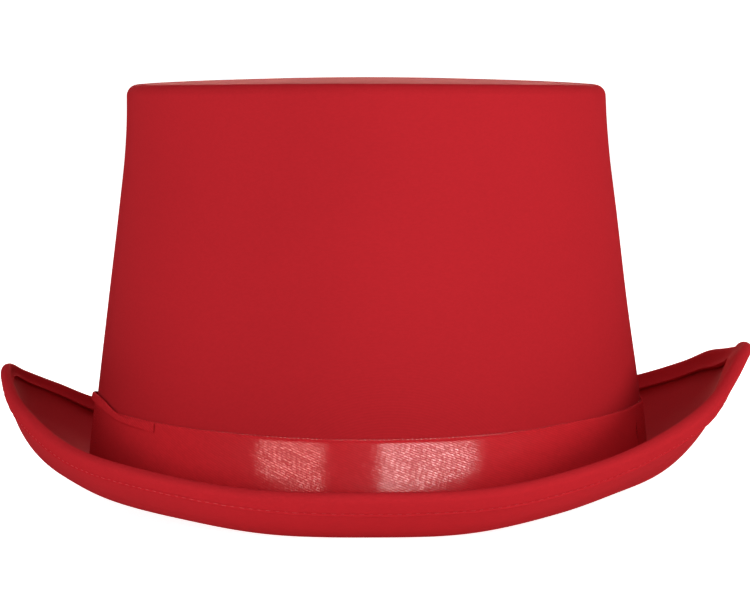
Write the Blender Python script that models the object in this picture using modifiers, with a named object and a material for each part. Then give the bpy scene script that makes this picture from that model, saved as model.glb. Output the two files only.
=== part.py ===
"""Satin top hat that rests on its brim: crown, tip, curled brim, binding and ribbon band.

Metres, +Z up, the front of the hat towards -Y. Each piece is an open surface, worked out from
the sizes and short tables below, that Solidify turns into a wall of cloth. The crown and the
brim are lofts between unlike sections, so their surfaces are gridded by hand in one function.
Bearings are in degrees round the head opening: 0 right, 90 back, 180 left, 270 front.
"""
import bpy
import numpy as np

# Crown
HEAD_WIDTH = 0.171
HEAD_LENGTH = 0.198
TIP_WIDTH = 0.150
TIP_LENGTH = 0.177
HAT_HEIGHT = 0.130
CROWN_WALL = 0.002
SHOULDER_RADIUS = 0.0035
SHOULDER_LEDGE = 0.001
SHOULDER_DROP = 0.0012
TIP_DOME = 0.0012
TIP_WALL = 0.002

# Brim and its binding
BRIM_WIDTH = 0.046
BRIM_WALL = 0.002
BINDING_WIDTH = 0.0048
BINDING_WALL = 0.001

# Ribbon
BAND_WIDTH = 0.020
BAND_WALL = 0.001
TUCK_WALL = 0.0008
LAP_TOOTH = 0.0026
LAP_RAISE = 0.0006

# Clearance between pieces that touch on the real hat
PIECE_GAP = 0.0003

# Bearings of the ribbon's hidden end, of its crimped end that laps over it on the right, and
# of the place where the lap starts to climb
RIBBON_START = -30.0
LAP_RISE = 314.0
LAP_FULL = 328.0
LAP_EDGE = 341.0

# How late along its section the brim's edge flares out, and where, as a share of the stretch
# before the binding, the brim has its last open row
FLARE_POWER = 9
LAST_OPEN = 0.90

# Mesh steps
ROUND_STEPS = 64
SECTION_STEPS = 120
SHOULDER_STEPS = 4
EDGE_STEPS = 5
TIP_RINGS = 4
RIBBON_STEPS = 5
TUCK_STEPS = 15
TUCK_ROWS = 4

# Crown profile: share of the height, share of the flare from tip size to foot size, and the
# lean to the left as a share of the tip's width
PROFILE_COLUMNS = ("height", "spread", "lean")
PROFILE = (
    (0.00, 1.000, 0.000),
    (0.19, 0.810, 0.000),
    (0.44, 0.515, 0.002),
    (0.69, 0.240, 0.002),
    (0.85, 0.070, 0.003),
    (0.94, 0.015, 0.004),
    (1.00, 0.000, 0.005),
)

# Brim sections. Shares of the brim's width: seat height at the crown, reach and lift of the
# edge, the two handles of the curve and the outward flare of the edge. Slopes in degrees.
BRIM_COLUMNS = ("bearing", "seat", "reach", "lift", "foot_slope", "foot_hold", "edge_slope", "edge_hold", "flare")
BRIM_SECTIONS = (
    (0, 0.178, 0.545, 0.945, 10, 0.22, 75, 0.35, 0.070),
    (8, 0.177, 0.555, 0.905, 12, 0.22, 75, 0.35, 0.030),
    (18, 0.170, 0.590, 0.860, 8, 0.24, 73, 0.34, 0.000),
    (30, 0.158, 0.648, 0.745, 3, 0.26, 69, 0.34, 0.000),
    (45, 0.135, 0.715, 0.585, -4, 0.28, 63, 0.36, 0.000),
    (60, 0.104, 0.807, 0.439, -14, 0.30, 58, 0.38, 0.000),
    (75, 0.086, 0.880, 0.320, -27, 0.30, 54, 0.41, 0.000),
    (90, 0.080, 0.913, 0.278, -29, 0.30, 52, 0.42, 0.000),
    (105, 0.086, 0.880, 0.285, -26, 0.30, 54, 0.41, 0.000),
    (120, 0.104, 0.807, 0.335, -15, 0.30, 58, 0.38, 0.000),
    (135, 0.126, 0.740, 0.415, -6, 0.30, 65, 0.37, 0.000),
    (150, 0.148, 0.640, 0.600, 0, 0.30, 74, 0.37, 0.000),
    (165, 0.164, 0.570, 0.745, 4, 0.30, 82, 0.37, 0.000),
    (180, 0.170, 0.542, 0.845, 6, 0.30, 84, 0.37, 0.000),
    (195, 0.164, 0.560, 0.785, 4, 0.30, 82, 0.37, 0.000),
    (210, 0.148, 0.640, 0.650, 0, 0.30, 74, 0.37, 0.000),
    (225, 0.126, 0.715, 0.465, -8, 0.30, 65, 0.37, 0.000),
    (240, 0.104, 0.807, 0.363, -17, 0.30, 58, 0.38, 0.000),
    (255, 0.086, 0.880, 0.285, -27, 0.30, 54, 0.41, 0.000),
    (270, 0.080, 0.913, 0.278, -29, 0.30, 52, 0.42, 0.000),
    (285, 0.086, 0.880, 0.293, -27, 0.30, 54, 0.41, 0.000),
    (300, 0.104, 0.807, 0.405, -15, 0.30, 56, 0.37, 0.000),
    (315, 0.138, 0.715, 0.555, -4, 0.28, 58, 0.35, 0.000),
    (330, 0.163, 0.668, 0.740, 4, 0.26, 66, 0.34, 0.000),
    (338, 0.172, 0.620, 0.850, 8, 0.23, 70, 0.34, 0.020),
    (346, 0.177, 0.570, 0.955, 10, 0.22, 74, 0.35, 0.070),
    (353, 0.178, 0.550, 0.985, 12, 0.22, 75, 0.35, 0.090),
)

# Slanting pleat at the left: heights as shares of the band's width, stand-off of its lower and
# upper edge as shares of the ribbon's wall
TUCK_COLUMNS = ("bearing", "low", "high", "low_stand", "high_stand")
TUCK = (
    (168, 0.93, 1.02, 0.0, 0.0),
    (176, 0.99, 1.08, 0.3, 0.1),
    (184, 1.02, 1.13, 0.4, 0.1),
    (192, 1.02, 1.15, 0.4, 0.0),
    (199, 0.99, 1.12, 0.3, 0.0),
    (208, 0.90, 1.00, 0.2, 0.0),
    (222, 0.84, 0.985, 0.0, 0.0),
)

SATIN_RED = (0.46, 0.016, 0.024, 1.0)
SATIN_ROUGHNESS = 0.45
RIBBON_RED = (0.42, 0.012, 0.020, 1.0)
RIBBON_ROUGHNESS = 0.30


def column(columns, table, name):
    """One named column of a table, as an array."""
    return np.array([row[columns.index(name)] for row in table], dtype=float)


def smooth(keys, values, at, period=None):
    """Smooth curve through the values at the keys, read at other places, periodic if asked."""
    if period:
        keys = np.concatenate((keys[-2:] - period, keys, keys[:2] + period))
        values = np.concatenate((values[-2:], values, values[:2]))
        at = np.mod(at, period)
    slopes = np.gradient(values, keys)
    left = np.clip(np.searchsorted(keys, at, side="right") - 1, 0, len(keys) - 2)
    step = keys[left + 1] - keys[left]
    u = (at - keys[left]) / step
    blend_left = (1 + 2 * u) * (1 - u) ** 2 * values[left] + u * (1 - u) ** 2 * step * slopes[left]
    blend_right = u**2 * (3 - 2 * u) * values[left + 1] - u**2 * (1 - u) * step * slopes[left + 1]
    return blend_left + blend_right


def round_bearings():
    """The bearings of one whole turn, without the repeated last one."""
    return np.linspace(0.0, 360.0, ROUND_STEPS, endpoint=False)


def oval(half_width, half_length, bearings):
    """Points on an oval, and the plan directions straight out from it."""
    turn = np.radians(bearings)
    across, along = np.cos(turn), np.sin(turn)
    out = np.stack((half_length * across, half_width * along), axis=-1)
    out /= np.linalg.norm(out, axis=-1, keepdims=True)
    return np.stack((half_width * across, half_length * along), axis=-1), out


def seat_height(bearings):
    """Height of the brim's underside where the crown stands on it."""
    seats = column(BRIM_COLUMNS, BRIM_SECTIONS, "seat")
    places = column(BRIM_COLUMNS, BRIM_SECTIONS, "bearing")
    return BRIM_WIDTH * smooth(places, seats, bearings, 360.0)


def crown_foot(bearings):
    """Height of the crown's and the band's lower edge, just above the brim."""
    return seat_height(bearings) + BRIM_WALL + PIECE_GAP


def crown_shoulder(bearings):
    """Height of the crown's shoulder, a little lower at the sides than at the front."""
    return HAT_HEIGHT - SHOULDER_DROP * np.cos(np.radians(bearings)) ** 2


def crown_surface(bearings, shares, inset=0.0):
    """Points on the crown's outer face at shares of its height, pulled in by the inset."""
    heights = column(PROFILE_COLUMNS, PROFILE, "height")
    spread = smooth(heights, column(PROFILE_COLUMNS, PROFILE, "spread"), shares)
    lean = smooth(heights, column(PROFILE_COLUMNS, PROFILE, "lean"), shares)
    foot_width = HEAD_WIDTH / 2 + CROWN_WALL
    foot_length = HEAD_LENGTH / 2 + CROWN_WALL
    half_width = TIP_WIDTH / 2 + (foot_width - TIP_WIDTH / 2) * spread - inset
    half_length = TIP_LENGTH / 2 + (foot_length - TIP_LENGTH / 2) * spread - inset
    plan, _ = oval(half_width, half_length, bearings)
    foot = crown_foot(bearings)
    straight = crown_shoulder(bearings) - SHOULDER_RADIUS - foot
    return np.stack((plan[..., 0] - lean * TIP_WIDTH, plan[..., 1], foot + straight * shares), axis=-1)


def crown_share(bearings, height):
    """Share of the crown's height that lies this far above its foot."""
    return height / (crown_shoulder(bearings) - SHOULDER_RADIUS - crown_foot(bearings))


def unit(vectors):
    """Vectors of length one."""
    return vectors / np.linalg.norm(vectors, axis=-1, keepdims=True)


def brim_sections(bearings):
    """Reach, height and running length of the brim's underside, a fine curve a bearing."""
    places = column(BRIM_COLUMNS, BRIM_SECTIONS, "bearing")
    rows = {
        name: smooth(places, column(BRIM_COLUMNS, BRIM_SECTIONS, name), bearings, 360.0)[:, None]
        for name in BRIM_COLUMNS[1:]
    }
    u = np.linspace(0.0, 1.0, SECTION_STEPS)[None, :]
    foot_slope = np.radians(rows["foot_slope"])
    edge_slope = np.radians(rows["edge_slope"])
    reach = (
        3 * (1 - u) ** 2 * u * rows["foot_hold"] * np.cos(foot_slope)
        + 3 * (1 - u) * u**2 * (rows["reach"] - rows["edge_hold"] * np.cos(edge_slope))
        + u**3 * rows["reach"]
        + rows["flare"] * u**FLARE_POWER
    )
    height = (
        (1 - u) ** 3 * rows["seat"]
        + 3 * (1 - u) ** 2 * u * (rows["seat"] + rows["foot_hold"] * np.sin(foot_slope))
        + 3 * (1 - u) * u**2 * (rows["lift"] - rows["edge_hold"] * np.sin(edge_slope))
        + u**3 * rows["lift"]
    )
    reach, height = BRIM_WIDTH * reach, BRIM_WIDTH * height
    steps = np.hypot(np.diff(reach, axis=1), np.diff(height, axis=1))
    length = np.concatenate((np.zeros((len(bearings), 1)), np.cumsum(steps, axis=1)), axis=1)
    return reach, height, length


def brim_underside(bearings, open_shares, bound_shares):
    """Points on the brim's underside from the crown's seat to the edge.

    The rows before the binding are shares of that stretch, the rows under it shares of the
    binding's width. Where the curve would dip below the floor the cloth lies flat on it.
    """
    reach, height, length = brim_sections(bearings)
    bare = length[:, -1:] - BINDING_WIDTH
    along = np.concatenate((bare * open_shares, bare + BINDING_WIDTH * bound_shares), axis=1)
    reach = np.array([np.interp(a, s, r) for a, s, r in zip(along, length, reach)])
    height = np.array([np.interp(a, s, h) for a, s, h in zip(along, length, height)])
    plan, out = oval(HEAD_WIDTH / 2, HEAD_LENGTH / 2, bearings)
    spot = plan[:, None, :] + out[:, None, :] * (seat_width() + reach)[..., None]
    return np.concatenate((spot, np.maximum(height, 0.0)[..., None]), axis=-1)


def seat_width():
    """Flat ring of the brim that the crown's wall and the ribbon stand on."""
    return CROWN_WALL + BAND_WALL + 2 * PIECE_GAP


def satin(name, colour, roughness):
    """Material of one piece."""
    material = bpy.data.materials.new(name)
    material.use_nodes = True
    shader = material.node_tree.nodes["Principled BSDF"]
    shader.inputs["Base Color"].default_value = colour
    shader.inputs["Roughness"].default_value = roughness
    shader.inputs["Metallic"].default_value = 0.0
    shader.inputs["Sheen Weight"].default_value = 0.3
    return material


def cloth(name, points, wall, side, colour=SATIN_RED, roughness=SATIN_ROUGHNESS, whole_turn=True, hub=False):
    """Object of one grid of points, thickened by Solidify to the side its faces look to, or away."""
    turns, rows = points.shape[:2]
    last = turns if whole_turn else turns - 1
    faces = [
        (a * rows + v, (a + 1) % turns * rows + v, (a + 1) % turns * rows + v + 1, a * rows + v + 1)
        for a in range(last)
        for v in range(rows - 1)
    ]
    if hub:
        faces.append([a * rows + rows - 1 for a in range(turns)])
    mesh = bpy.data.meshes.new(name)
    mesh.from_pydata(points.reshape(-1, 3).tolist(), [], faces)
    mesh.polygons.foreach_set("use_smooth", [True] * len(mesh.polygons))
    mesh.materials.append(satin(name, colour, roughness))
    piece = bpy.data.objects.new(name, mesh)
    thicken = piece.modifiers.new("wall", "SOLIDIFY")
    thicken.thickness = wall
    thicken.offset = side
    thicken.use_even_offset = True
    return piece


def shoulder_ring(inset, rise):
    """Oval inside the top of the crown's straight side, lifted by the rise."""
    ring = crown_surface(round_bearings()[:, None], np.ones((ROUND_STEPS, 1)), inset)
    ring[..., 2] += rise
    return ring


def crown_side():
    """Tapered oval side of the crown with its rounded shoulder."""
    bearings = round_bearings()[:, None]
    heights = column(PROFILE_COLUMNS, PROFILE, "height")
    straight = crown_surface(bearings, np.broadcast_to(heights, (ROUND_STEPS, len(heights))))
    arc = np.linspace(0.0, np.pi / 2, SHOULDER_STEPS + 1)[1:]
    insets = np.append(SHOULDER_RADIUS * (1 - np.cos(arc)), SHOULDER_RADIUS + SHOULDER_LEDGE)
    rises = np.append(SHOULDER_RADIUS * np.sin(arc), SHOULDER_RADIUS)
    rings = [shoulder_ring(inset, rise) for inset, rise in zip(insets, rises)]
    return cloth("crown_side", np.concatenate([straight, *rings], axis=1), CROWN_WALL, -1)


def crown_tip():
    """Domed oval top, level with the shoulder and set just inside it."""
    rim = shoulder_ring(SHOULDER_RADIUS + SHOULDER_LEDGE + PIECE_GAP, SHOULDER_RADIUS)
    centre = rim.mean(axis=(0, 1))
    shares = np.linspace(1.0, 1.0 / (TIP_RINGS + 1), TIP_RINGS + 1)[None, :, None]
    points = centre + (rim - centre) * shares
    points[..., 2] += TIP_DOME * (1 - shares[..., 0] ** 2)
    return cloth("crown_tip", points, TIP_WALL, -1, hub=True)


def brim():
    """Curled brim from the head opening to its edge, flat where it rests."""
    bearings = round_bearings()
    open_shares = np.array((0.0, 0.14, 0.28, 0.40, 0.50, 0.64, 0.78, LAST_OPEN))
    bound_shares = np.array((0.0, 0.5, 1.0))
    outer = brim_underside(bearings, open_shares, bound_shares)
    plan, _ = oval(HEAD_WIDTH / 2, HEAD_LENGTH / 2, bearings)
    inner = np.concatenate((plan, seat_height(bearings)[:, None]), axis=1)[:, None, :]
    return cloth("brim", np.concatenate((inner, outer), axis=1), BRIM_WALL, -1)


def binding_surface():
    """Inner face of the strip folded round the brim's edge, from its outer hem to its inner one."""
    bearings = round_bearings()
    face = brim_underside(bearings, np.array((LAST_OPEN,)), np.array((0.0, 0.5, 1.0)))
    around = np.roll(face, -1, axis=0) - np.roll(face, 1, axis=0)
    outward = unit(np.cross(around, np.gradient(face, axis=1)))
    face, outward, around = face[:, 1:], outward[:, 1:], around[:, 1:]
    outer = face + PIECE_GAP * outward
    inner = face - (BRIM_WALL + PIECE_GAP) * outward
    edge, edge_out = face[:, -1], outward[:, -1]
    beyond = unit(np.cross(edge_out, around[:, -1]))
    radius = BRIM_WALL / 2 + PIECE_GAP
    turns = np.linspace(0.0, np.pi, EDGE_STEPS + 1)[None, 1:-1, None]
    fold = (edge - edge_out * BRIM_WALL / 2)[:, None] + radius * (
        np.cos(turns) * edge_out[:, None] + np.sin(turns) * beyond[:, None]
    )
    return np.concatenate((outer, fold, inner[:, ::-1]), axis=1)


def brim_binding():
    """Strip of satin folded round the brim's edge."""
    return cloth("brim_binding", binding_surface(), BINDING_WALL, 1)


def ribbon_points(bearings, shares, stand_off):
    """Points off the crown's face at shares of the band's width, one row of shares a bearing."""
    points = crown_surface(bearings, crown_share(bearings, BAND_WIDTH * shares))
    _, out = oval(HEAD_WIDTH / 2, HEAD_LENGTH / 2, np.broadcast_to(bearings, shares.shape))
    points[..., :2] += out * stand_off[..., None]
    return points


def hat_band():
    """Ribbon round the foot of the crown, its toothed end lapped over its hidden one."""
    columns = ROUND_STEPS + 3
    bearings = np.linspace(RIBBON_START, LAP_EDGE, columns)[:, None]
    across = np.linspace(0.0, 1.0, RIBBON_STEPS + 1)
    teeth = np.degrees(LAP_TOOTH / (HEAD_LENGTH / 2)) * (np.arange(RIBBON_STEPS + 1) % 2)
    bearings = bearings - teeth * (np.arange(columns) == columns - 1)[:, None]
    climb = np.clip((bearings - LAP_RISE) / (LAP_FULL - LAP_RISE), 0.0, 1.0)
    climb = climb**2 * (3 - 2 * climb)
    stand_off = PIECE_GAP + (BAND_WALL + PIECE_GAP) * climb
    shares = across + (1 - across) * climb * LAP_RAISE / BAND_WIDTH
    points = ribbon_points(bearings, shares, stand_off)
    return cloth("hat_band", points, BAND_WALL, 1, RIBBON_RED, RIBBON_ROUGHNESS, whole_turn=False)


def band_tuck():
    """Slanting pleat of ribbon on the left end of the band."""
    places = column(TUCK_COLUMNS, TUCK, "bearing")
    bearings = np.linspace(places[0], places[-1], TUCK_STEPS)
    low, high, low_stand, high_stand = (
        smooth(places, column(TUCK_COLUMNS, TUCK, name), bearings)[:, None] for name in TUCK_COLUMNS[1:]
    )
    across = np.linspace(0.0, 1.0, TUCK_ROWS)[None, :]
    shares = low + (high - low) * across
    stand = low_stand + (high_stand - low_stand) * across
    stand_off = BAND_WALL + 2 * PIECE_GAP + BAND_WALL * stand
    points = ribbon_points(bearings[:, None], shares, stand_off)
    return cloth("band_tuck", points, TUCK_WALL, 1, RIBBON_RED, RIBBON_ROUGHNESS, whole_turn=False)


def main():
    for old in list(bpy.data.objects):
        bpy.data.objects.remove(old, do_unlink=True)
    collection = bpy.data.collections.new("satin_top_hat")
    bpy.context.scene.collection.children.link(collection)
    # The hat's overall box is centred over the origin, whatever its edge does at each side.
    edge = binding_surface().reshape(-1, 3)
    holder = bpy.data.objects.new("hat_centre", None)
    holder.location = (-(edge[:, 0].min() + edge[:, 0].max()) / 2, -(edge[:, 1].min() + edge[:, 1].max()) / 2, 0.0)
    collection.objects.link(holder)
    for make in (crown_side, crown_tip, brim, brim_binding, hat_band, band_tuck):
        piece = make()
        piece.parent = holder
        collection.objects.link(piece)


main()
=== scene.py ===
"""Satin top hat dressed for its photograph: cloth, ribbon, hems, stitches, camera and stage.

The file is laid out as an add-on and run as a script. Metres, +Z up, front towards -Y.
Bearings are in degrees round the head opening: 0 right, 90 back, 180 left, 270 front.
Every shape is a grid of points, worked out from the sizes and tables below.
"""

import bpy
import numpy as np
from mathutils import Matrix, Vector


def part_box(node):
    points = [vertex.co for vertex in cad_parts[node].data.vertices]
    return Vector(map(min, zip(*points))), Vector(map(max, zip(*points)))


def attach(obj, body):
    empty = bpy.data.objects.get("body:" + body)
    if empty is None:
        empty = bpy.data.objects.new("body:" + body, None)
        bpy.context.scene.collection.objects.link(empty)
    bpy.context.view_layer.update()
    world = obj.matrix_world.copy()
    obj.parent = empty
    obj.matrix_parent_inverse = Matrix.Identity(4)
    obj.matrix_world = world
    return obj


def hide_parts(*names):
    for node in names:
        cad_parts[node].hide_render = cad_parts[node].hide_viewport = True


bl_info = {
    "name": "Satin top hat",
    "version": (1, 0, 0),
    "blender": (4, 5, 0),
    "location": "View3D > Sidebar > Top Hat",
    "description": "Cloth, ribbon, stitches and stage of a red satin top hat",
    "category": "Object",
}

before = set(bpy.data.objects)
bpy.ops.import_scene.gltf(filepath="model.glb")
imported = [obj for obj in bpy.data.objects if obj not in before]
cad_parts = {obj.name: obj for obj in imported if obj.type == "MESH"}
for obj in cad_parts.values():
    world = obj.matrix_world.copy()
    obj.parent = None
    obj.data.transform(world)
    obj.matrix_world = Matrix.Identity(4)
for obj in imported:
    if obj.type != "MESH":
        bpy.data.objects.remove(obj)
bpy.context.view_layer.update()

# The crown's axis stands a little left of the origin, because the hat's whole box is centred
CROWN_LOW, CROWN_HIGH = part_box("crown_side")
AXIS = np.array(((CROWN_LOW.x + CROWN_HIGH.x) / 2, (CROWN_LOW.y + CROWN_HIGH.y) / 2, 0.0))

MM = 0.001


def table(columns, *rows):
    """Columns of numbers by their names."""
    return dict(zip(columns.split(), np.array(rows, dtype=float).T))


# Slot between two pieces
GAP = 0.0003

# Where every turn of cloth is joined, at the back
SEAM_BEARING = 90.0

# Crown profile: share of the height, share of the flare, lean to the left per tip width
PROFILE = table(
    "height spread lean",
    (0.00, 1.000, 0.000),
    (0.19, 0.810, 0.000),
    (0.44, 0.515, 0.002),
    (0.69, 0.240, 0.002),
    (0.85, 0.070, 0.003),
    (0.94, 0.015, 0.004),
    (1.00, 0.000, 0.005),
)

# Brim sections, in shares of the brim's width, with slopes in degrees
BRIM = table(
    "bearing seat reach lift foot_slope foot_hold edge_slope edge_hold flare",
    (0, 0.178, 0.545, 0.945, 10, 0.22, 75, 0.35, 0.070),
    (8, 0.177, 0.555, 0.905, 12, 0.22, 75, 0.35, 0.030),
    (18, 0.170, 0.590, 0.860, 8, 0.24, 73, 0.34, 0.000),
    (30, 0.158, 0.648, 0.745, 3, 0.26, 69, 0.34, 0.000),
    (45, 0.135, 0.715, 0.585, -4, 0.28, 63, 0.36, 0.000),
    (60, 0.104, 0.807, 0.439, -14, 0.30, 58, 0.38, 0.000),
    (75, 0.086, 0.880, 0.320, -27, 0.30, 54, 0.41, 0.000),
    (90, 0.080, 0.913, 0.278, -29, 0.30, 52, 0.42, 0.000),
    (105, 0.086, 0.880, 0.285, -26, 0.30, 54, 0.41, 0.000),
    (120, 0.104, 0.807, 0.335, -15, 0.30, 58, 0.38, 0.000),
    (135, 0.126, 0.740, 0.415, -6, 0.30, 65, 0.37, 0.000),
    (150, 0.148, 0.640, 0.600, 0, 0.30, 74, 0.37, 0.000),
    (165, 0.164, 0.570, 0.745, 4, 0.30, 82, 0.37, 0.000),
    (180, 0.170, 0.542, 0.845, 6, 0.30, 84, 0.37, 0.000),
    (195, 0.164, 0.560, 0.785, 4, 0.30, 82, 0.37, 0.000),
    (210, 0.148, 0.640, 0.650, 0, 0.30, 74, 0.37, 0.000),
    (225, 0.126, 0.715, 0.465, -8, 0.30, 65, 0.37, 0.000),
    (240, 0.104, 0.807, 0.363, -17, 0.30, 58, 0.38, 0.000),
    (255, 0.086, 0.880, 0.285, -27, 0.30, 54, 0.41, 0.000),
    (270, 0.080, 0.913, 0.278, -29, 0.30, 52, 0.42, 0.000),
    (285, 0.086, 0.880, 0.293, -27, 0.30, 54, 0.41, 0.000),
    (300, 0.104, 0.807, 0.405, -15, 0.30, 56, 0.37, 0.000),
    (315, 0.138, 0.715, 0.555, -4, 0.28, 58, 0.35, 0.000),
    (330, 0.163, 0.668, 0.740, 4, 0.26, 66, 0.34, 0.000),
    (338, 0.172, 0.620, 0.850, 8, 0.23, 70, 0.34, 0.020),
    (346, 0.177, 0.570, 0.955, 10, 0.22, 74, 0.35, 0.070),
    (353, 0.178, 0.550, 0.985, 12, 0.22, 75, 0.35, 0.090),
)
FLARE_POWER = 9
SECTION_STEPS = 160

# Rings of the satin's grain: pitch, their centre below the crown's foot and beside its front,
# and the distance where they end, how fast they fade and what stays of them
RING_PITCH = 0.00085
RING_DEPTH = 0.007
RING_SHIFT = 0.006
RING_REACH = 0.060
RING_FADE = 24.0
RING_REST = 0.10

# Woven floats: how sharply they end, how narrow their glossy crests are, and how far the
# ribbon's ribs are turned, in radians
FLOAT_ENDS = 0.12
CREST_POWER = 4.0
TWILL_SLOPE = 0.40

# Crown: how deep its foot sinks into the brim's cloth, how far side and tip dip into their
# seam, how much of the tip's width that takes, and how far out the tip lies on its ledge
FOOT_SINK = 0.0001
SEAM_DIP = 0.0003
SEAM_SPREAD = 0.012
TIP_LEDGE = 0.6

# Binding: its stitches' distance from the hem, how much they pull it in and how far that and
# the puckers reach, the slot under it, how far it gapes inside, rounding of its hems, swell
# over the edge, and the lump where its ends meet, each with its spread
STITCH_LINE = 0.0012
STITCH_PULL, PULL_SPREAD = 0.30, 0.0005
PUCKER_SPREAD = 0.0020
HEM_GAP = 0.0002
HEM_GAPE = 0.0007
BINDING_ROUND = 0.0006
FOLD_SWELL, SWELL_SPREAD = 0.00015, 0.0026
END_LUMP, LUMP_SPREAD = 0.0007, 0.0034
END_BEARING, END_SPREAD = 357.0, 3.0

# Ribbon: bearings of its start, of its lap from where it rises to its cut edge, teeth of the
# cut, how much higher the lap lies, rounding of the hems and the cord along them
RIBBON_START = -30.0
LAP_RISE = 314.0
LAP_FULL = 328.0
LAP_EDGE = 341.0
LAP_TOOTH = 0.0026
LAP_TEETH = 5
LAP_LIFT = 0.0006
RIBBON_ROUND = 0.0004
CORD_PLACE = 0.0007
CORD_SPREAD = 0.0004
CORD_RISE = 0.00003

# Loops of the ribbon's edge: half sizes along, outwards and upwards, share of its width and
# of its thickness where they stand
PICOT_RADII = (0.00044, 0.00005, 0.00030)
PICOT_SHARE = 0.995
PICOT_DEPTH = 0.6

# Pleat: its thickness, and the degrees in which it thins out at its end
PLEAT_WALL = 0.0006
PLEAT_FADE = 12.0

# Stitches: half length in pitches, and how deep they sit in the cloth
STITCH_SHARE = 0.36
STITCH_SINK = 0.00006

# Pleat of ribbon at the left: heights in shares of the band's width, stand-off in walls
TUCK = table(
    "bearing low high low_stand high_stand",
    (168, 0.93, 1.02, 0.0, 0.0),
    (176, 0.99, 1.08, 0.3, 0.1),
    (184, 1.02, 1.13, 0.4, 0.1),
    (192, 1.02, 1.15, 0.4, 0.0),
    (199, 0.99, 1.12, 0.3, 0.0),
    (208, 0.90, 1.00, 0.2, 0.0),
    (222, 0.84, 0.985, 0.0, 0.0),
)

# Binding below the brim's edge, outside and inside, and its thickness on both, in millimetres
HEMS = table(
    "bearing outer inner outer_wall inner_wall",
    (0, 5.0, 5.0, 0.5, 1.4),
    (12, 5.0, 5.0, 0.8, 1.2),
    (24, 4.8, 5.0, 1.0, 0.8),
    (36, 4.8, 4.9, 1.0, 0.7),
    (60, 4.8, 5.2, 1.0, 0.6),
    (90, 4.8, 4.8, 1.0, 0.6),
    (130, 4.8, 4.8, 1.0, 0.6),
    (142, 4.8, 4.4, 1.0, 0.6),
    (152, 4.6, 3.2, 1.0, 0.5),
    (165, 4.4, 2.7, 0.9, 0.4),
    (180, 4.2, 2.5, 0.9, 0.4),
    (200, 4.2, 3.6, 1.0, 0.5),
    (224, 4.2, 4.4, 1.0, 0.6),
    (240, 3.9, 4.6, 1.0, 0.6),
    (250, 3.9, 4.6, 1.0, 0.6),
    (258, 4.8, 4.6, 1.0, 0.6),
    (265, 5.5, 4.6, 1.0, 0.6),
    (272, 5.8, 4.6, 1.0, 0.6),
    (280, 5.4, 4.6, 1.0, 0.6),
    (290, 5.5, 4.6, 1.0, 0.6),
    (302, 5.5, 4.6, 1.0, 0.6),
    (320, 5.4, 4.6, 1.1, 0.8),
    (338, 5.2, 4.8, 1.0, 1.2),
    (346, 5.0, 5.0, 0.6, 1.5),
    (353, 5.0, 5.2, 0.4, 1.5),
)

# Puckers of the sewn hem: whole waves a turn, share of the full pucker, phase
PUCKERS = ((83, 0.42, 0.3), (127, 0.34, 1.9), (151, 0.30, 4.1), (59, 0.26, 2.6), (211, 0.18, 0.9))

# Soft boxes: name, place, what they face, width, height, watts, tint, and whether they light
# cloth or only glint on it
LIGHTS = (
    ("front", (0.00, -2.30, 0.30), (0.0, 0.0, 0.05), 0.90, 0.60, 15.5, (1.0, 0.99, 0.98), True),
    ("key_left", (-1.18, -1.78, 0.42), (0.0, 0.0, 0.05), 0.90, 0.60, 5.6, (1.0, 0.98, 0.97), True),
    ("fill_left", (-1.75, -0.90, 0.52), (0.0, 0.0, 0.05), 0.90, 0.60, 5.6, (1.0, 0.98, 0.97), True),
    ("fill_right", (1.90, -0.60, 0.52), (0.0, 0.0, 0.05), 0.90, 0.60, 18.5, (1.0, 0.98, 0.96), True),
    ("high_left", (-1.60, -0.50, 1.20), (0.0, 0.0, 0.05), 0.90, 0.60, 2.8, (1.0, 0.99, 0.98), True),
    ("high_right", (1.60, -0.50, 1.20), (0.0, 0.0, 0.05), 0.90, 0.60, 2.5, (1.0, 0.99, 0.98), True),
    ("overhead", (0.00, 0.60, 1.70), (0.0, 0.0, 0.05), 0.80, 0.80, 6.2, (1.0, 1.0, 1.0), True),
    ("ribbon_right", (0.56, -1.16, 0.17), (0.0, -0.1, 0.02), 1.00, 0.24, 15.0, (1.0, 0.92, 0.89), False),
    ("ribbon_left", (-0.72, -1.06, 0.17), (0.0, -0.1, 0.02), 0.66, 0.24, 7.0, (1.0, 0.66, 0.60), False),
    ("backdrop", (0.00, 2.60, 0.40), (0.0, 0.0, 0.12), 0.90, 0.70, 17.0, (1.0, 0.44, 0.38), False),
)


def length(name, description, default):
    """A size in metres."""
    return bpy.props.FloatProperty(
        name=name, description=description, default=default, min=0.0, precision=4,
        unit="LENGTH", subtype="DISTANCE"
    )


def tint(name, description, default):
    """A colour."""
    return bpy.props.FloatVectorProperty(
        name=name, description=description, default=default, size=3, min=0.0, max=1.0, subtype="COLOR"
    )


def share(name, description, default):
    """A number from 0 to 1."""
    return bpy.props.FloatProperty(
        name=name, description=description, default=default, min=0.0, max=1.0
    )


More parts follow.
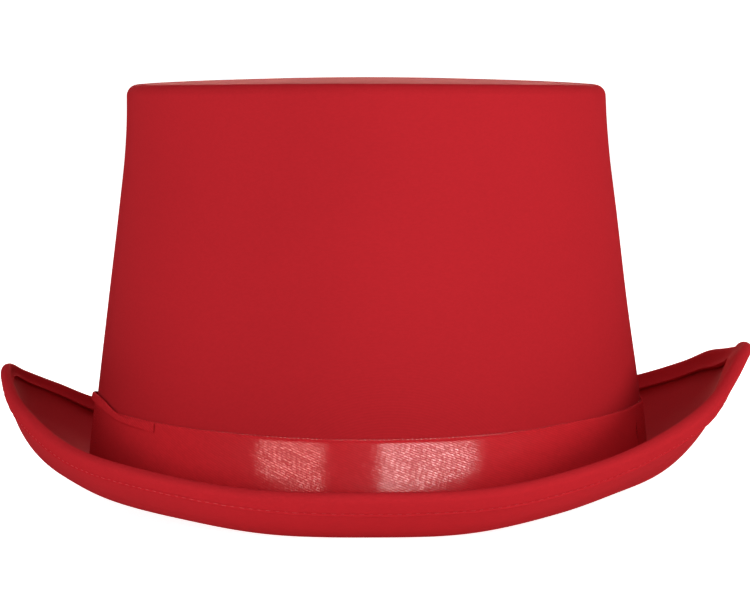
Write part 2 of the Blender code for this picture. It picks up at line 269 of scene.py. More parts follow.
class HatSizes(bpy.types.PropertyGroup):
    """Sizes of the hat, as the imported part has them."""

    head_width: length("Head width", "Head opening from side to side", 0.171)
    head_length: length("Head length", "Head opening from front to back", 0.198)
    tip_width: length("Tip width", "Top of the crown from side to side", 0.150)
    tip_length: length("Tip length", "Top of the crown from front to back", 0.177)
    hat_height: length("Height", "Shoulder of the crown above the floor", 0.130)
    crown_wall: length("Crown wall", "Thickness of the crown's cloth", 0.002)
    shoulder_radius: length("Shoulder radius", "Rounding between side and tip", 0.0035)
    shoulder_ledge: length("Shoulder ledge", "Flat turn-in of the side under the seam", 0.001)
    shoulder_drop: length("Shoulder drop", "How much lower the shoulder is at the sides", 0.0012)
    tip_dome: length("Tip dome", "Rise of the tip's middle", 0.0012)
    brim_width: length("Brim width", "Width that the brim's sections are shares of", 0.046)
    brim_wall: length("Brim wall", "Thickness of the brim", 0.002)
    brim_cloth: length("Brim cloth", "Thickness of the brim's cloth as it shows", 0.0014)
    edge_reach: length("Edge reach", "How far the fold stands beyond the brim's cloth", 0.0006)
    pucker: length("Pucker", "Depth of the hem's puckers along its stitches", 0.00010)
    band_width: length("Ribbon width", "Width of the ribbon", 0.020)
    band_wall: length("Ribbon wall", "Thickness that the ribbon takes on the brim", 0.001)
    ribbon_cloth: length("Ribbon cloth", "Thickness of the ribbon as it shows", 0.0005)
    stitch_pitch: length("Stitch pitch", "From one stitch of the hem to the next", 0.0027)
    thread: length("Thread", "Thickness of the sewing thread", 0.00022)
    picot_pitch: length("Picot pitch", "From one loop of the ribbon's edge to the next", 0.0014)


class HatCloth(bpy.types.PropertyGroup):
    """Colours and gloss of the cloths."""

    satin_colour: tint("Satin", "Colour of the satin", (0.45, 0.0170, 0.0235))
    ribbon_colour: tint("Ribbon", "Colour of the ribbon", (0.52, 0.0190, 0.0262))
    thread_colour: tint("Thread", "Colour of the sewing thread", (0.50, 0.022, 0.028))
    satin_roughness: share("Satin roughness", "Roughness of the satin", 0.58)
    ribbon_roughness: share("Ribbon roughness", "Roughness of the ribbon's gloss", 0.16)
    satin_pitch: length("Satin rib", "Distance between the satin's fine ribs", 0.00042)
    ribbon_pitch: length("Ribbon rib", "Distance between the ribbon's twill ribs", 0.00066)


class HatStage(bpy.types.PropertyGroup):
    """Camera and stage."""

    camera_place: bpy.props.FloatVectorProperty(
        name="Camera", description="Place of the camera", default=(-0.00005, -1.400, 0.1464), size=3,
        unit="LENGTH", subtype="TRANSLATION"
    )
    camera_tilt: bpy.props.FloatProperty(
        name="Tilt", description="How far the camera looks down", default=0.062378,
        unit="ROTATION", subtype="ANGLE"
    )
    focal_length: bpy.props.FloatProperty(
        name="Focal length", description="Focal length on a 36 mm sensor, in millimetres", default=214.0
    )
    floor_glow: share("Floor glow", "Light that the pale table gives off by itself", 0.34)
    floor_white: share("Floor white", "How pale the camera sees the table beyond that", 0.56)
    floor_colour: tint("Floor", "Colour of the floor and backdrop", (0.93, 0.93, 0.93))
    sky: share("Room light", "Strength of the even light of the room", 0.14)


def sizes():
    """The hat's sizes."""
    return bpy.context.scene.hat_sizes


def finish_values():
    """The cloths' colours and gloss."""
    return bpy.context.scene.hat_cloth


def smooth(keys, values, at, period=None):
    """Cubic curve through the values, its slope at each key the mean of the steps beside it."""
    if period:
        keys = np.concatenate((keys[-2:] - period, keys, keys[:2] + period))
        values = np.concatenate((values[-2:], values, values[:2]))
        at = np.mod(at, period)
    slopes = np.gradient(values, keys)
    left = np.clip(np.searchsorted(keys, at, side="right") - 1, 0, len(keys) - 2)
    step = keys[left + 1] - keys[left]
    u = (at - keys[left]) / step
    blend_left = (1 + 2 * u) * (1 - u) ** 2 * values[left] + u * (1 - u) ** 2 * step * slopes[left]
    blend_right = u**2 * (3 - 2 * u) * values[left + 1] - u**2 * (1 - u) * step * slopes[left + 1]
    return blend_left + blend_right


def round_curve(rows, name, bearings):
    """Closed smooth curve through one column of a table of bearings."""
    return smooth(rows["bearing"], rows[name], bearings, 360.0)


def unit(vectors):
    """Vectors of length one."""
    return vectors / np.linalg.norm(vectors, axis=-1, keepdims=True)


def bump(at, centre, spread):
    """Bell curve: one at the centre, falling with the square of the distance over the spread."""
    return np.exp(-(((at - centre) / spread) ** 2))


def ramp(at, start, end):
    """Nothing before the start, one after the end, straight in between."""
    return np.clip((at - start) / (end - start), 0.0, 1.0)


def ease(share):
    """A share that sets off and arrives gently: three squares less two cubes."""
    return share**2 * (3 - 2 * share)


def round_steps(count):
    """Shares from 0 to 1 that lie closer at both ends, after the cosine of a half turn."""
    return 0.5 - 0.5 * np.cos(np.linspace(0.0, np.pi, count))


def run_along(line):
    """Running length at each point of a line."""
    return np.concatenate(((0.0,), np.cumsum(np.linalg.norm(np.diff(line, axis=0), axis=-1))))


def run_across(points):
    """Running length at each point of every row."""
    steps = np.linalg.norm(np.diff(points, axis=1), axis=-1)
    return np.concatenate((np.zeros((len(points), 1)), np.cumsum(steps, axis=1)), axis=1)


def turn_bearings(steps):
    """Bearings of one whole turn from the back seam, without the repeated last one."""
    return SEAM_BEARING + np.linspace(0.0, 360.0, steps, endpoint=False)


def oval(half_width, half_length, bearings):
    """Oval of cosine and sine times the half sizes, and the plan directions straight out of it."""
    turn = np.radians(bearings)
    across, along = np.cos(turn), np.sin(turn)
    out = unit(np.stack((half_length * across, half_width * along), axis=-1))
    return np.stack((half_width * across, half_length * along), axis=-1), out


def seat_height(bearings):
    """Height of the brim's underside where the crown stands on it."""
    return sizes().brim_width * round_curve(BRIM, "seat", bearings)


def crown_foot(bearings):
    """Height of the crown's lower edge, just above the brim."""
    return seat_height(bearings) + sizes().brim_wall + GAP


def crown_shoulder(bearings):
    """Height of the crown's shoulder, lower at the sides with the square of the cosine."""
    return sizes().hat_height - sizes().shoulder_drop * np.cos(np.radians(bearings)) ** 2


def crown_surface(bearings, shares, inset=0.0):
    """Crown's outer face: an oval that grows from tip size to foot size with the profile's spread."""
    hat = sizes()
    spread, lean = (smooth(PROFILE["height"], PROFILE[name], shares) for name in ("spread", "lean"))
    foot_width = hat.head_width / 2 + hat.crown_wall
    foot_length = hat.head_length / 2 + hat.crown_wall
    half_width = hat.tip_width / 2 + (foot_width - hat.tip_width / 2) * spread - inset
    half_length = hat.tip_length / 2 + (foot_length - hat.tip_length / 2) * spread - inset
    plan, _ = oval(half_width, half_length, bearings)
    foot = crown_foot(bearings)
    straight = crown_shoulder(bearings) - hat.shoulder_radius - foot
    across, along = plan[..., 0] - lean * hat.tip_width, plan[..., 1]
    return np.stack((across, along, foot + straight * shares), axis=-1)


def crown_share(bearings, height):
    """Share of the crown's height that lies this far above its foot."""
    return height / (crown_shoulder(bearings) - sizes().shoulder_radius - crown_foot(bearings))


def brim_curves(bearings):
    """Reach, height and running length of the brim's underside.

    Each section is a cubic curve between the seat and the edge, steered by a handle at each
    end, with the outward flare growing with a high power of its parameter.
    """
    rows = {name: round_curve(BRIM, name, bearings)[:, None] for name in BRIM}
    u = np.linspace(0.0, 1.0, SECTION_STEPS)[None, :]
    foot_slope = np.radians(rows["foot_slope"])
    edge_slope = np.radians(rows["edge_slope"])
    reach = (
        3 * (1 - u) ** 2 * u * rows["foot_hold"] * np.cos(foot_slope)
        + 3 * (1 - u) * u**2 * (rows["reach"] - rows["edge_hold"] * np.cos(edge_slope))
        + u**3 * rows["reach"]
        + rows["flare"] * u**FLARE_POWER
    )
    height = (
        (1 - u) ** 3 * rows["seat"]
        + 3 * (1 - u) ** 2 * u * (rows["seat"] + rows["foot_hold"] * np.sin(foot_slope))
        + 3 * (1 - u) * u**2 * (rows["lift"] - rows["edge_hold"] * np.sin(edge_slope))
        + u**3 * rows["lift"]
    )
    reach, height = sizes().brim_width * reach, sizes().brim_width * height
    return reach, height, run_across(np.stack((reach, height), axis=-1))


def brim_face(bearings, place):
    """Points on the brim's underside, never below the floor.

    Place turns the whole running length of each section into the lengths that are wanted.
    """
    hat = sizes()
    reach, height, running = brim_curves(bearings)
    at = place(running[:, -1:])
    reach = np.array([np.interp(a, s, r) for a, s, r in zip(at, running, reach)])
    height = np.array([np.interp(a, s, h) for a, s, h in zip(at, running, height)])
    plan, out = oval(hat.head_width / 2, hat.head_length / 2, bearings)
    seat = hat.crown_wall + hat.band_wall + 2 * GAP
    spot = plan[:, None, :] + out[:, None, :] * (seat + reach)[..., None]
    return np.concatenate((spot, np.maximum(height, 0.0)[..., None]), axis=-1)


def grid_directions(points):
    """Directions straight out of a grid that closes round its first axis, and along it."""
    around = np.roll(points, -1, axis=0) - np.roll(points, 1, axis=0)
    return unit(np.cross(around, np.gradient(points, axis=1))), unit(around)


def rounded(run, total, radius):
    """Share of a wall's thickness that rises from nothing at both hems as a quarter circle."""
    near = np.clip(np.minimum(run, total - run) / radius, 0.0, 1.0)
    return np.sqrt(1 - (1 - near) ** 2)


def grid_faces(turns, rows, close_turns, close_rows):
    """Corner numbers of a grid's quads, as pairs of turn and row that may run one past the end."""
    a = np.arange(turns if close_turns else turns - 1)
    b = np.arange(rows if close_rows else rows - 1)
    a, b = (side.ravel() for side in np.meshgrid(a, b, indexing="ij"))
    return np.stack((a, a + 1, a + 1, a), axis=-1), np.stack((b, b, b + 1, b + 1), axis=-1)


def new_object(name, points, faces, material):
    """Smooth object in the scene, in place of an older one."""
    old = bpy.data.objects.get(name)
    if old:
        bpy.data.objects.remove(old, do_unlink=True)
    mesh = bpy.data.meshes.new(name)
    mesh.from_pydata(points.reshape(-1, 3).tolist(), [], faces)
    mesh.polygons.foreach_set("use_smooth", np.ones(len(mesh.polygons), dtype=bool))
    mesh.materials.append(material)
    item = bpy.data.objects.new(name, mesh)
    bpy.context.scene.collection.objects.link(item)
    return item


def new_piece(name, points, faces, material):
    """Piece of the hat from points round the crown's axis."""
    piece = new_object(name, points + AXIS, faces, material)
    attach(piece, "root")
    return piece


def make_piece(name, points, along, across, material, close_turns=True, close_rows=False):
    """Piece from a grid of points, with a map in metres: running length along, width across.

    A grid that doesn't close round its first axis is a strip, and gets a face at both ends.
    """
    turns, rows = points.shape[:2]
    corner_turn, corner_row = grid_faces(turns, rows, close_turns, close_rows)
    faces = ((corner_turn % turns) * rows + corner_row % rows).tolist()
    corners = corner_turn, corner_row
    spread = np.stack((along[corners], across[corners]), axis=-1).reshape(-1, 2)
    if not close_turns:
        first = np.arange(rows)
        faces += [first.tolist(), ((turns - 1) * rows + first[::-1]).tolist()]
        ends = np.stack((across[0, :rows], across[0, :rows]), axis=-1)
        spread = np.concatenate((spread, ends, ends[::-1]))
    piece = new_piece(name, points, faces, material)
    piece.data.uv_layers.new(name="cloth").data.foreach_set("uv", spread.ravel())
    piece.data.update()
    return piece


def map_lengths(points, close_turns, close_rows):
    """Running lengths along and across a grid, one past its end where it closes."""
    if close_turns:
        points = np.concatenate((points, points[:1]), axis=0)
    if close_rows:
        points = np.concatenate((points, points[:, :1]), axis=1)
    across = run_across(points)
    along = run_along(points[:, points.shape[1] // 2])[:, None]
    return np.broadcast_to(along, across.shape), across


def thicken(piece, wall, side):
    """Wall of cloth on one side of an open surface."""
    wall_maker = piece.modifiers.new("wall", "SOLIDIFY")
    wall_maker.thickness = wall
    wall_maker.offset = side
    wall_maker.use_even_offset = True


def shell(face, outward, wall):
    """Closed section of a strip: its outer skin, then its inner face back to the first hem."""
    skin = face + outward * wall[..., None]
    return np.concatenate((skin, face[:, -2:0:-1]), axis=1)


def small_beads(name, places, along, up, radii, material):
    """Row of small rounded beads, each a ball drawn out along the row.

    A ball's points are sine and cosine of two angles. All balls are one array of points.
    """
    turns, rows = 8, 5
    polar = np.linspace(0.0, np.pi, rows + 2)[1:-1]
    spin = np.linspace(0.0, 2 * np.pi, turns, endpoint=False)
    lengthwise = np.concatenate(((-1.0,), np.repeat(-np.cos(polar), turns), (1.0,)))
    upwards = np.concatenate(((0.0,), np.outer(np.sin(polar), np.cos(spin)).ravel(), (0.0,)))
    sideways = np.concatenate(((0.0,), np.outer(np.sin(polar), np.sin(spin)).ravel(), (0.0,)))
    side = np.cross(along, up)
    points = places[:, None] + sum(
        way[:, None] * (ball * radius)[None, :, None]
        for way, ball, radius in zip((along, up, side), (lengthwise, upwards, sideways), radii)
    )
    spot = 1 + np.arange(rows)[:, None] * turns + np.arange(turns)[None, :]
    beside = 1 + np.arange(rows)[:, None] * turns + (np.arange(turns)[None, :] + 1) % turns
    quads = np.stack((spot[:-1], spot[1:], beside[1:], beside[:-1]), axis=-1).reshape(-1, 4)
    tail = np.stack((np.zeros(turns, dtype=int), spot[0], beside[0]), axis=-1)
    nose = np.stack((np.full(turns, 1 + rows * turns), beside[-1], spot[-1]), axis=-1)
    count = points.shape[1]
    offsets = (np.arange(len(places)) * count)[:, None, None]
    faces = []
    for part in (quads, tail, nose):
        faces += (part[None] + offsets).reshape(-1, part.shape[1]).tolist()
    return new_piece(name, points, faces, material)


# Materials


def new_group(name, inputs, outputs):
    """Shader node group with its sockets: the group, what comes in and the node that gives out."""
    group = bpy.data.node_groups.new(name, "ShaderNodeTree")
    for label, kind, value in inputs:
        socket = group.interface.new_socket(name=label, in_out="INPUT", socket_type=kind)
        if value is not None:
            socket.default_value = value
    for label, kind in outputs:
        group.interface.new_socket(name=label, in_out="OUTPUT", socket_type=kind)
    return group, group.nodes.new("NodeGroupInput").outputs, group.nodes.new("NodeGroupOutput")


def feed(tree, node, inputs):
    """A node whose inputs, by name or by place, get other nodes' outputs or plain values."""
    for label, value in inputs.items():
        if isinstance(value, bpy.types.NodeSocket):
            tree.links.new(value, node.inputs[label])
        else:
            node.inputs[label].default_value = value
    return node


def add_node(tree, kind, inputs, **settings):
    """New node with its settings and its inputs."""
    node = tree.nodes.new(kind)
    for name, value in settings.items():
        setattr(node, name, value)
    return feed(tree, node, inputs)


def math_node(tree, operation, *values):
    """Math node fed with sockets or numbers."""
    return add_node(tree, "ShaderNodeMath", dict(enumerate(values)), operation=operation).outputs[0]


def scaled(tree, colour, scale):
    """A colour times a number."""
    node = add_node(tree, "ShaderNodeVectorMath", {0: colour, "Scale": scale}, operation="SCALE")
    return node.outputs[0]


def float_weave():
    """Group of woven floats: short threads lying side by side, each row shifted by chance.

    Across a thread the height is a sine arch, along it a flat arch that dips at both ends.
    Glint is a number of its own for each float.
    """
    group, given, result = new_group(
        "Woven floats",
        (
            ("Vector", "NodeSocketVector", None),
            ("Pitch", "NodeSocketFloat", 0.0006),
            ("Float", "NodeSocketFloat", 0.0018),
            ("Slope", "NodeSocketFloat", 0.0),
        ),
        (("Height", "NodeSocketFloat"), ("Glint", "NodeSocketFloat")),
    )
    turned = add_node(
        group, "ShaderNodeVectorRotate", {"Vector": given["Vector"], "Angle": given["Slope"]},
        rotation_type="Z_AXIS"
    )
    place = add_node(group, "ShaderNodeSeparateXYZ", {0: turned.outputs[0]}).outputs
    row = math_node(group, "DIVIDE", place["Y"], given["Pitch"])
    row_number = math_node(group, "FLOOR", row)
    chance = add_node(group, "ShaderNodeTexWhiteNoise", {"W": row_number}, noise_dimensions="1D")
    run = math_node(group, "DIVIDE", place["X"], given["Float"])
    run = math_node(group, "ADD", run, chance.outputs["Value"])
    arch, ends = (
        math_node(group, "SINE", math_node(group, "MULTIPLY", math_node(group, "FRACT", way), np.pi))
        for way in (row, run)
    )
    height = math_node(group, "MULTIPLY", arch, math_node(group, "POWER", ends, FLOAT_ENDS))
    run_number = math_node(group, "FLOOR", run)
    pair = add_node(group, "ShaderNodeCombineXYZ", {"X": row_number, "Y": run_number}).outputs[0]
    white = add_node(group, "ShaderNodeTexWhiteNoise", {"Vector": pair}, noise_dimensions="2D")
    feed(group, result, {"Height": height, "Glint": white.outputs["Value"]})
    return group


def cloth_tone():
    """Group of slow changes of tone: wide soft clouds and a finer unevenness of the dye."""
    group, given, result = new_group(
        "Cloth tone",
        (
            ("Vector", "NodeSocketVector", None),
            ("Color", "NodeSocketColor", None),
            ("Clouds", "NodeSocketFloat", 0.04),
            ("Specks", "NodeSocketFloat", 0.03),
        ),
        (("Color", "NodeSocketColor"),),
    )
    tone = 1.0
    for scale, detail, label in ((22.0, 3.0, "Clouds"), (900.0, 2.0, "Specks")):
        noise = add_node(
            group, "ShaderNodeTexNoise", {"Vector": given["Vector"], "Scale": scale, "Detail": detail}
        )
        swing = math_node(group, "SUBTRACT", noise.outputs["Fac"], 0.5)
        swing = math_node(group, "MULTIPLY", swing, given[label])
        tone = math_node(group, "MULTIPLY_ADD", swing, 2.0, tone)
    feed(group, result, {"Color": scaled(group, given["Color"], tone)})
    return group


def place_group(tree, name, **values):
    """A group placed in a material with its own values, built the first time it is asked for."""
    makers = {"Woven floats": float_weave, "Cloth tone": cloth_tone}
    group = bpy.data.node_groups.get(name) or makers[name]()
    return feed(tree, add_node(tree, "ShaderNodeGroup", {}, node_tree=group), values).outputs


def toned(tree, colour, clouds, specks):
    """This colour, a little uneven over the hat."""
    place = add_node(tree, "ShaderNodeTexCoord", {}).outputs["Object"]
    values = {"Vector": place, "Color": (*colour, 1.0), "Clouds": clouds, "Specks": specks}
    return place_group(tree, "Cloth tone", **values)["Color"]


def new_material(name):
    """Fresh material, its tree and its shader."""
    old = bpy.data.materials.get(name)
    if old:
        bpy.data.materials.remove(old)
    material = bpy.data.materials.new(name)
    material.use_nodes = True
    return material, material.node_tree, material.node_tree.nodes["Principled BSDF"]


def cloth_material(
    name, colour, roughness, pitch, slope, relief, glint, float_length=2.3, painted_crest_sheen=0.0,
    coat=0.0, coat_roughness=0.15, width=0.0, specular=0.0, rings=0.0, turn=0.0
):
    """Woven cloth: its floats give the relief and the gloss, clouds and fine rings the tone.

    Glint is how far the floats differ in tone by chance, and painted crest sheen how much paler
    their crests are painted, a painted sheen on each float. Coat is how glossy the crests are,
    on the face of a strip of that width.
    """
    material, tree, shader = new_material(name)
    spread = add_node(tree, "ShaderNodeUVMap", {}, uv_map="cloth").outputs[0]
    weave = place_group(
        tree, "Woven floats", Vector=spread, Pitch=pitch, Float=pitch * float_length, Slope=slope
    )
    chance = math_node(tree, "SUBTRACT", weave["Glint"], 0.5)
    shade = math_node(tree, "MULTIPLY_ADD", chance, glint, 1.0)
    # Painted sheen: the floats' crests are made paler in the base colour, where light would catch them
    shade = math_node(tree, "MULTIPLY_ADD", weave["Height"], painted_crest_sheen, shade)
    if rings:
        shade = math_node(tree, "MULTIPLY", shade, grain_rings(tree, spread, rings, turn))
    bumps = {"Strength": 1.0, "Distance": relief, "Height": weave["Height"]}
    feed(tree, shader, {
        "Base Color": scaled(tree, toned(tree, colour, 0.035, 0.03), shade),
        "Roughness": roughness,
        "Specular IOR Level": specular,
        "Normal": add_node(tree, "ShaderNodeBump", bumps).outputs[0],
    })
    if coat:
        crest = math_node(tree, "POWER", weave["Height"], CREST_POWER)
        luck = math_node(tree, "MULTIPLY_ADD", weave["Glint"], coat, 0.5 * coat)
        gloss = math_node(tree, "MULTIPLY", crest, luck)
        gloss = math_node(tree, "MULTIPLY", gloss, face_share(tree, spread, width))
        feed(tree, shader, {"Coat Weight": gloss, "Coat Roughness": coat_roughness})
    return material


def face_share(tree, spread, width):
    """One on the face of a strip of this width, nothing on its hems and its back."""
    across = add_node(tree, "ShaderNodeSeparateXYZ", {0: spread}).outputs["Y"]
    near = math_node(tree, "MINIMUM", across, math_node(tree, "SUBTRACT", width, across))
    rise = math_node(tree, "DIVIDE", math_node(tree, "SUBTRACT", near, RIBBON_ROUND), RIBBON_ROUND)
    return math_node(tree, "MINIMUM", math_node(tree, "MAXIMUM", rise, 0.0), 1.0)


def grain_rings(tree, spread, amount, turn):
    """Faint rings of the grain, as satin shows where it is stretched over a round block.

    The sine of the distance from a point low on the cloth, repeated each quarter turn and
    faded with distance.
    """
    place = add_node(tree, "ShaderNodeSeparateXYZ", {0: spread}).outputs
    away = math_node(tree, "PINGPONG", math_node(tree, "ADD", place["X"], -RING_SHIFT), turn / 8)
    rise = math_node(tree, "ADD", place["Y"], RING_DEPTH)
    squares = math_node(tree, "ADD", *(math_node(tree, "POWER", side, 2.0) for side in (away, rise)))
    distance = math_node(tree, "SQRT", squares)
    wave = math_node(tree, "SINE", math_node(tree, "MULTIPLY", distance, 2 * np.pi / RING_PITCH))
    fade = math_node(tree, "MULTIPLY", math_node(tree, "SUBTRACT", RING_REACH, distance), RING_FADE)
    fade = math_node(tree, "MINIMUM", math_node(tree, "MAXIMUM", fade, RING_REST), 1.0)
    return math_node(tree, "MULTIPLY_ADD", math_node(tree, "MULTIPLY", wave, fade), amount, 1.0)


def satin(name, rings=0.0, turn=0.0, specular=0.002):
    """Satin of one piece of the hat."""
    look = finish_values()
    return cloth_material(
        name, look.satin_colour, look.satin_roughness, look.satin_pitch, 0.0, relief=0.000008,
        glint=0.05, specular=specular, rings=rings, turn=turn
    )


def ribbon_satin(name, coat):
    """Glossy ribbon with twill ribs that slope down to the right, their crests painted paler as a
    painted sheen.
    """
    look = finish_values()
    # The ribbon's rib crests are painted paler here, a painted sheen in its colour
    return cloth_material(
        name, look.ribbon_colour, 0.6, look.ribbon_pitch, TWILL_SLOPE, relief=0.00001, glint=0.10,
        float_length=2.5, painted_crest_sheen=0.18, coat=coat, coat_roughness=look.ribbon_roughness,
        width=sizes().band_width
    )


def thread(name, roughness):
    """Twisted sewing thread."""
    material, tree, shader = new_material(name)
    colour = toned(tree, finish_values().thread_colour, 0.10, 0.12)
    feed(tree, shader, {"Base Color": colour, "Roughness": roughness, "Specular IOR Level": 0.6})
    return material


# Pieces


def crown_cloth():
    """Side of the crown: the profile's ovals, then a quarter circle over the shoulder.

    The last rings turn down a little into the seam that joins the side to the tip, and the
    first is let down onto the brim's cloth, so that nothing shows through under it.
    """
    hat = sizes()
    bearings = turn_bearings(288)[:, None]
    shares = np.broadcast_to(np.linspace(0.0, 1.0, 76), (288, 76))
    side = crown_surface(bearings, shares)
    side[:, 0, 2] -= hat.brim_wall - hat.brim_cloth + GAP + FOOT_SINK
    arc = np.linspace(0.0, np.pi / 2, 11)[1:]
    radius = hat.shoulder_radius
    insets = np.append(radius * (1 - np.cos(arc)), radius + hat.shoulder_ledge)
    rises = np.append(radius * np.sin(arc), radius - SEAM_DIP)
    rings = [shoulder_ring(bearings, inset, rise) for inset, rise in zip(insets, rises)]
    return np.concatenate((side, *rings), axis=1)


def shoulder_ring(bearings, inset, rise):
    """Oval inside the top of the crown's straight side, lifted by the rise."""
    ring = crown_surface(bearings, np.ones(bearings.shape), inset)
    ring[..., 2] += rise
    return ring


def tip_cloth():
    """Top of the crown: shares of its rim towards the middle, domed by one less the share squared."""
    hat = sizes()
    bearings = turn_bearings(288)[:, None]
    inset = hat.shoulder_radius + hat.shoulder_ledge * TIP_LEDGE
    rim = shoulder_ring(bearings, inset, hat.shoulder_radius)
    centre = rim.mean(axis=(0, 1))
    shares = np.concatenate((np.linspace(1.0, 0.06, 44), (0.02, 0.0008)))[None, :, None]
    points = centre + (rim - centre) * shares
    dip = SEAM_DIP * bump(1 - shares[..., 0], 0.0, SEAM_SPREAD)
    points[..., 2] += hat.tip_dome * (1 - shares[..., 0] ** 2) - dip
    return points


def brim_cloth():
    """Brim: the flat ring under the crown, then the underside's sections out to the edge."""
    hat = sizes()
    bearings = turn_bearings(360)
    shares = np.linspace(0.0, 1.0, 56)[None, :]
    outer = brim_face(bearings, lambda whole: whole * shares)
    plan, _ = oval(hat.head_width / 2, hat.head_length / 2, bearings)
    inner = np.concatenate((plan, seat_height(bearings)[:, None]), axis=1)[:, None, :]
    return np.concatenate((inner, outer), axis=1)


def hem_pucker(bearings):
    """Sum of a few whole waves a turn, so that the ends meet."""
    turn = np.radians(bearings)[:, None]
    return sum(size * np.sin(count * turn + phase) for count, size, phase in PUCKERS)


def hem_values(bearings, name):
    """One column of the hem table at these bearings, in metres."""
    return MM * round_curve(HEMS, name, bearings)[:, None]


def binding_skeleton(bearings):
    """Inner face of the binding from its outer hem over the brim's edge to its inner hem.

    Gives the points, the directions of its skin, the running lengths and their total.
    """
    hat = sizes()
    outer_hem, inner_hem = hem_values(bearings, "outer"), hem_values(bearings, "inner")
    back = np.linspace(1.0, 0.0, 26)[None, :]
    outer = brim_face(bearings, lambda whole: whole - outer_hem * back)
    inner = brim_face(bearings, lambda whole: whole - inner_hem * back)
    outer_out, around = grid_directions(outer)
    inner_out = grid_directions(inner)[0]
    half = hat.brim_cloth / 2
    radius = half + HEM_GAP
    edge, edge_out = outer[:, -1], outer_out[:, -1]
    beyond = unit(np.cross(edge_out, around[:, -1]))
    turns = np.linspace(0.0, np.pi, 17)[None, :, None]
    fold_out = np.cos(turns) * edge_out[:, None] + np.sin(turns) * beyond[:, None]
    fold = (edge - edge_out * half + beyond * hat.edge_reach)[:, None] + radius * fold_out
    gape = HEM_GAPE * back[..., None] ** 3
    turned_in = inner - (hat.brim_cloth + HEM_GAP + gape) * inner_out
    face = np.concatenate((outer + HEM_GAP * outer_out, fold, turned_in[:, ::-1]), axis=1)
    skin = np.concatenate((outer_out, fold_out, -inner_out[:, ::-1]), axis=1)
    run = run_across(face)
    return face, skin, run, run[:, -1:]


def near_bearing(bearings, centre, spread):
    """Bell curve of the bearing round its centre, across the start of the turn too."""
    return bump((bearings - centre + 180.0) % 360.0, 180.0, spread)[:, None]


def binding_wall(bearings, run, total):
    """Thickness of the binding, rounded at both hems and pulled in along the stitches.

    It is full over the edge, with puckers that fade away from the stitches and a lump where
    its ends meet.
    """
    inside = ease(ramp(run, total * 0.42, total * 0.58))
    outer_wall, inner_wall = (hem_values(bearings, name) for name in ("outer_wall", "inner_wall"))
    wall = outer_wall + (inner_wall - outer_wall) * inside
    wall = wall * (1 - STITCH_PULL * bump(run, STITCH_LINE, PULL_SPREAD))
    full = FOLD_SWELL * bump(run, total / 2, SWELL_SPREAD)
    ends = near_bearing(bearings, END_BEARING, END_SPREAD)
    lump = END_LUMP * ends * bump(run, total / 2, LUMP_SPREAD)
    wave = sizes().pucker * hem_pucker(bearings) * bump(run, STITCH_LINE, PUCKER_SPREAD)
    return (wall + full + lump + wave) * rounded(run, total, BINDING_ROUND)


def binding_cloth():
    """Strip of satin folded round the brim's edge, as a closed skin."""
    bearings = turn_bearings(720)
    face, skin, run, total = binding_skeleton(bearings)
    return shell(face, skin, binding_wall(bearings, run, total))


def stitch_row():
    """Places, run directions and upward directions of the stitches along the outer hem."""
    bearings = turn_bearings(2880)
    face, skin, run, total = binding_skeleton(bearings)
    wall = binding_wall(bearings, run, total)
    at = np.argmin(np.abs(run[0] - STITCH_LINE))
    line = face[:, at] + skin[:, at] * (wall[:, at] - STITCH_SINK)[:, None]
    running = run_along(np.concatenate((line, line[:1])))
    count = round(running[-1] / sizes().stitch_pitch)
    wanted = np.linspace(0.0, running[-1], count, endpoint=False)
    spots = np.searchsorted(running, wanted) % len(line)
    along = unit(np.roll(line, -3, axis=0) - np.roll(line, 3, axis=0))
    return line[spots], along[spots], skin[spots, at]


def ribbon_points(bearings, shares, stand_off):
    """Points off the crown's face at shares of the ribbon's width."""
    points = crown_surface(bearings, crown_share(bearings, sizes().band_width * shares))
    hat = sizes()
    _, out = oval(hat.head_width / 2, hat.head_length / 2, np.broadcast_to(bearings, shares.shape))
    points[..., :2] += out * stand_off[..., None]
    return points, np.concatenate((out, np.zeros(out.shape[:2] + (1,))), axis=-1)


def lap_climb(bearings):
    """How far the ribbon has climbed over its hidden start."""
    return ease(ramp(bearings, LAP_RISE, LAP_FULL))


def ribbon_cloth():
    """Ribbon round the crown's foot, a closed skin with corded edges and a zigzag end."""
    hat = sizes()
    bearings = np.linspace(RIBBON_START, LAP_EDGE, 900)[:, None]
    across = round_steps(41)
    zigzag = LAP_TOOTH * np.abs((across * LAP_TEETH + 1.0) % 2.0 - 1.0)
    teeth = np.degrees(zigzag / (hat.head_length / 2))[None, :]
    bearings = bearings - teeth * ramp(bearings, LAP_EDGE - 1.0, LAP_EDGE)
    climb = lap_climb(bearings)
    stand_off = HEM_GAP + (hat.ribbon_cloth + HEM_GAP) * climb
    shares = across + (1 - across) * climb * LAP_LIFT / hat.band_width
    face, out = ribbon_points(bearings, shares, stand_off)
    run = np.broadcast_to(across * hat.band_width, shares.shape)
    cord = sum(bump(run, place, CORD_SPREAD) for place in (CORD_PLACE, hat.band_width - CORD_PLACE))
    wall = (hat.ribbon_cloth + CORD_RISE * cord) * rounded(run, hat.band_width, RIBBON_ROUND)
    return shell(face, out, wall)


def picot_row():
    """Places and directions of the fine loops along the ribbon's top edge."""
    hat = sizes()
    bearings = np.linspace(RIBBON_START + 2.0, LAP_EDGE - 0.6, 6000)[:, None]
    climb = lap_climb(bearings)
    stand_off = HEM_GAP + (hat.ribbon_cloth + HEM_GAP) * climb + PICOT_DEPTH * hat.ribbon_cloth
    line, out = ribbon_points(bearings, np.full(bearings.shape, PICOT_SHARE), stand_off)
    line, out = line[:, 0], out[:, 0]
    running = run_along(line)
    wanted = np.arange(0.0, running[-1], hat.picot_pitch)
    spots = np.clip(np.searchsorted(running, wanted), 3, len(line) - 4)
    return line[spots], unit(line[spots + 3] - line[spots - 3]), out[spots]


